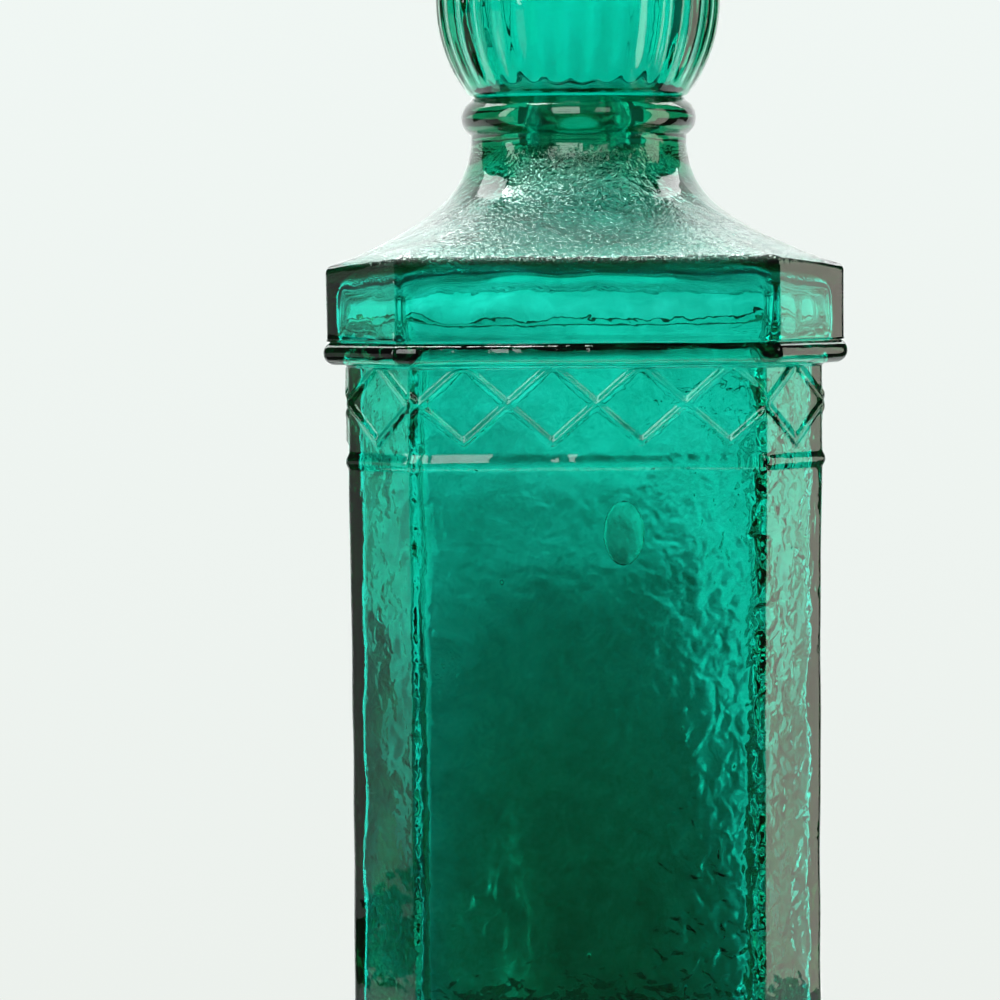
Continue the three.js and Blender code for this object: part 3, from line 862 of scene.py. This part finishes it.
def green_glass(name, skin, density, moulded):
    """Sea-green glass with its colour in its depth; moulded glass also has the bottle's pebbled skin."""
    material, tree, shader = new_clear(name, GLASS_INDEX)
    spot = coordinates(tree, (-1500, 200))
    wide = {"Pebble Size": UNEVEN_SIZE, "Streak Size": UNEVEN_STREAK_SIZE}
    fine = {"Pebble Size": STIPPLE_SIZE, "Pebble Mask": stipple_mask(tree, spot)}
    uneven = use_skin(tree, skin, (-800, 300), wide)
    stipple = use_skin(tree, skin, (-800, -100), fine)
    feed(tree, shader["Base Color"], glass_tint(tree, spot["Z"], uneven["Streak"]))

    slope = height_mask(tree, spot["Z"], SLOPE_BLOOM, 200)
    slope_coat = arithmetic(tree, (-600, -100), "MULTIPLY", slope, SLOPE_COAT)
    coat = arithmetic(tree, (-400, -100), "MULTIPLY_ADD", stipple["Haze"], HAZE_COAT, slope_coat)
    feed(tree, shader["Roughness"], map_range(tree, (-400, 0), stipple["Haze"], 0, 1, *GLASS_ROUGHNESS))
    feed(tree, shader["Coat Weight"], coat)
    feed(tree, shader["Coat Roughness"], COAT_ROUGHNESS)
    heights = [(uneven["Height"], UNEVEN_DEPTH)]
    if moulded:
        heights.append((stipple["Height"], STIPPLE_DEPTH))
        heights += inner_heights(tree, skin, spot)
    feed(tree, shader["Normal"], relief(tree, MM, heights))

    depth = add_node(tree, "ShaderNodeVolumeAbsorption", (0, -300))
    feed(tree, depth.inputs["Color"], GLASS_ABSORPTION)
    feed(tree, depth.inputs["Density"], density)
    feed(tree, tree.nodes["Material Output"].inputs["Volume"], depth.outputs["Volume"])
    return material


def clear_sleeve(skin):
    """Clear soft plastic, faintly milky."""
    material, tree, shader = new_clear("clear_sleeve", SLEEVE_INDEX)
    uneven = use_skin(tree, skin, (-650, 100), {})
    roughness = map_range(tree, (-400, 0), uneven["Haze"], 0, 1, *SLEEVE_ROUGHNESS)
    feed(tree, shader["Base Color"], ramp(tree, (-400, 300), uneven["Streak"], SLEEVE_TINTS))
    feed(tree, shader["Roughness"], roughness)
    feed(tree, shader["Normal"], relief(tree, SLEEVE_BUMP * MM, [(uneven["Height"], 1)]))
    return material


# Stage

WALL_Y = 75.0
COVE_RADIUS, COVE_STEPS = 8.0, 16
BOARD_LEFT, BOARD_RIGHT, BOARD_STEP = -300.0, 220.0, 150.0
PANEL_LEFT, PANEL_RIGHT = -130.0, 106.0
FLOOR_LEFT, FLOOR_RIGHT = -180.0, 180.0
STAGE_FRONT, STAGE_BACK = -140.0, 180.0
STAGE_TOP = 262.0
FLOOR_COLOUR = (0.40, 0.411, 0.407)
WALL_COLOUR = (0.90, 0.925, 0.915)

# What the camera sees of the wall from the floor up, greyer lower down as painted shade, and the share of
# it that glass sees
WALL_SHADES = [(0.0, (0.84, 0.88, 0.845)), (1.0, (0.88, 0.94, 0.915))]
WALL_SHADES_TOP = 260.0
WALL_SHARE = 0.06

# Room round the stage: as a mirror sees it, as the camera sees it, and through glass by tilt
ROOM_COLOUR = (0.05, 0.051, 0.05, 1)
ROOM_WHITE = (0.868, 0.92, 0.893, 1)
ROOM_WALLS = [(0.15, (0.22, 0.225, 0.222)), (0.55, (0.04, 0.041, 0.04))]


def new_paper(name, colour):
    """Material of matt paper, with its node tree and its shader."""
    material = bpy.data.materials.new(name)
    material.use_nodes = True
    tree = material.node_tree
    tree.nodes.remove(tree.nodes["Principled BSDF"])
    matt = add_node(tree, "ShaderNodeBsdfDiffuse", (-300, 100))
    matt.inputs["Color"].default_value = (*colour, 1)
    return material, tree, matt.outputs[0]


def one_sided(tree, surface):
    """Show a surface from the front, and let it be looked through from behind."""
    nothing = add_node(tree, "ShaderNodeBsdfTransparent", (-300, -100))
    side = add_node(tree, "ShaderNodeNewGeometry", (-300, 350))
    shown = mix_shaders(tree, (100, 100), side.outputs["Backfacing"], surface, nothing.outputs[0])
    feed(tree, tree.nodes["Material Output"].inputs["Surface"], shown)


def pale_floor():
    """Matt paper of the shelf."""
    material, tree, matt = new_paper("pale_floor", FLOOR_COLOUR)
    one_sided(tree, matt)
    return material


def pale_wall():
    """Paper that the camera sees evenly lit, painted a little greyer towards the floor as shade."""
    material, tree, matt = new_paper("pale_wall", WALL_COLOUR)
    # Painted shade: the glow that the camera sees is greyer towards the floor.
    level = map_range(tree, (-600, -200), coordinates(tree, (-950, -200))["Z"], 0, WALL_SHADES_TOP * MM)
    glow = add_node(tree, "ShaderNodeEmission", (-150, -300))
    feed(tree, glow.inputs["Color"], ramp(tree, (-450, -300), level, WALL_SHADES))
    ray = add_node(tree, "ShaderNodeLightPath", (-450, 500)).outputs
    by_glass = arithmetic(tree, (-300, 650), "ADD", ray["Is Glossy Ray"], ray["Is Transmission Ray"])
    share = arithmetic(tree, (-150, 550), "MULTIPLY_ADD", by_glass, WALL_SHARE, ray["Is Camera Ray"])
    one_sided(tree, mix_shaders(tree, (-50, 100), share, matt, glow.outputs[0]))
    return material


def backdrop():
    """Pale shelf, with a white board close behind the bottle that is narrower above its shoulder."""
    rise = arc(WALL_Y - COVE_RADIUS, COVE_RADIUS, COVE_RADIUS, -90, 0, COVE_STEPS).tolist()
    rise.append((WALL_Y, BOARD_STEP))
    shelf = [(FLOOR_LEFT, FLOOR_RIGHT, y, 0) for y in (STAGE_FRONT, STAGE_BACK)]
    board = [(BOARD_LEFT, BOARD_RIGHT, y, z) for y, z in rise]
    panel = [(PANEL_LEFT, PANEL_RIGHT, WALL_Y, z) for z in (BOARD_STEP, STAGE_TOP)]
    points, faces = [], []
    for rows in (shelf, board, panel):
        first = len(points)
        for left, right, y, z in rows:
            points += [Vector((left, y, z)) * MM, Vector((right, y, z)) * MM]
        faces += [(i, i + 1, i + 3, i + 2) for i in range(first, len(points) - 2, 2)]
    mesh = bpy.data.meshes.new("backdrop")
    mesh.from_pydata(points, [], faces)
    mesh.shade_smooth()
    mesh.materials.append(pale_floor())
    mesh.materials.append(pale_wall())
    for strip in mesh.polygons[1:]:
        strip.material_index = 1
    sweep = bpy.data.objects.new("backdrop", mesh)
    bpy.context.collection.objects.link(sweep)


# Light

def softbox(name, place, aim, size, radiance, lights=False, shines=True, shows=False, tint=(1, 1, 1)):
    """Area lamp turned towards a point: it lights matt things, shines in gloss or shows through glass."""
    lamp = bpy.data.lights.new(name, "AREA")
    lamp.shape = "RECTANGLE"
    lamp.color = tint
    lamp.size, lamp.size_y = size[0] * MM, size[1] * MM
    lamp.energy = radiance * math.pi * lamp.size * lamp.size_y
    holder = bpy.data.objects.new(name, lamp)
    way = Vector(aim) - Vector(place)
    turn = way.to_track_quat("-Z", "Y").to_matrix().to_4x4()
    holder.matrix_world = Matrix.Translation(Vector(place) * MM) @ turn
    holder.visible_camera = False
    holder.visible_diffuse = lights
    holder.visible_glossy = shines
    holder.visible_transmission = shows
    lamp.cycles.use_multiple_importance_sampling = shines
    bpy.context.collection.objects.link(holder)


def lamps():
    """Two lamps that light matt things, two cards that show through the glass, the rest for highlights."""
    softbox("key", (370, -720, 1620), (0, 0, 100), size=(450, 450), radiance=98, lights=True, shines=False)
    softbox("left_fill", (-360, -1130, 650), (-60, 75, 80), size=(300, 300), radiance=27, lights=True,
            shines=False)
    softbox("front_window", (-430, -1600, 1150), (-430, 0, 150), size=(850, 1300), radiance=5)
    softbox("right_window", (700, -1500, 1150), (700, 0, 150), size=(500, 900), radiance=2.5)
    softbox("left_window", (-2600, -415, 1180), (0, -415, 1180), size=(470, 2000), radiance=5)
    softbox("left_card", (-380, -40, 75), (0, -40, 75), size=(260, 180), radiance=0.45, shows=True)
    softbox("right_card", (600, -60, 150), (0, -60, 150), size=(250, 700), radiance=3, shows=True,
            tint=(1, 0.94, 0.82))
    softbox("skylight", (-390, 50, 1500), (-390, 50, 0), size=(820, 900), radiance=21)
    softbox("back_light", (0, 700, 1050), (0, -20, 160), size=(2400, 900), radiance=6)


def room_light():
    """White beyond the stage for the camera; for the glass a dim room, paler at eye level."""
    world = bpy.data.worlds.new("room")
    world.use_nodes = True
    bpy.context.scene.world = world
    tree = world.node_tree
    room = tree.nodes["Background"]
    room.inputs["Color"].default_value = ROOM_COLOUR
    tilt = arithmetic(tree, (-500, -150), "ABSOLUTE", coordinates(tree, (-900, -150), "Generated")["Z"])
    through = add_node(tree, "ShaderNodeBackground", (-50, -150))
    feed(tree, through.inputs["Color"], ramp(tree, (-350, -150), tilt, ROOM_WALLS))
    white = add_node(tree, "ShaderNodeBackground", (-50, -300))
    white.inputs["Color"].default_value = ROOM_WHITE
    ray = add_node(tree, "ShaderNodeLightPath", (-100, 400)).outputs
    dim = mix_shaders(tree, (200, 100), ray["Is Transmission Ray"], room.outputs[0], through.outputs[0])
    seen = mix_shaders(tree, (400, 100), ray["Is Camera Ray"], dim, white.outputs[0])
    feed(tree, tree.nodes["World Output"].inputs["Surface"], seen)


# Camera at the photograph's viewing angle: a long lens a little left of the middle
CAMERA_PLACE = (-25.6, -800.0, BODY_HEIGHT + 25.4)
CAMERA_YAW, CAMERA_PITCH, CAMERA_ROLL = -0.775, 3.68, -0.35
CAMERA_LENS, CAMERA_SENSOR = 156.8, 36


def camera():
    """Camera turned by its yaw, pitch and roll in degrees."""
    lens = bpy.data.cameras.new("camera")
    lens.lens = CAMERA_LENS
    lens.sensor_width = CAMERA_SENSOR
    holder = bpy.data.objects.new("camera", lens)
    holder.matrix_world = (
        Matrix.Translation(Vector(CAMERA_PLACE) * MM)
        @ Matrix.Rotation(math.radians(CAMERA_YAW), 4, "Z")
        @ Matrix.Rotation(math.radians(90 - CAMERA_PITCH), 4, "X")
        @ Matrix.Rotation(math.radians(CAMERA_ROLL), 4, "Z")
    )
    bpy.context.collection.objects.link(holder)
    bpy.context.scene.camera = holder


skin = mould_skin()
make_bottle(green_glass("bottle_glass", skin, BOTTLE_DENSITY, moulded=True))
make_ball(green_glass("ball_glass", skin, BALL_DENSITY, moulded=False))
make_sleeve(clear_sleeve(skin))

backdrop()
room_light()
lamps()
camera()

scene = bpy.context.scene
scene.view_settings.view_transform = "Standard"

# Light goes through many faces of glass
scene.cycles.max_bounces = 40
scene.cycles.transmission_bounces = 40
scene.cycles.glossy_bounces = 24
scene.cycles.diffuse_bounces = 4
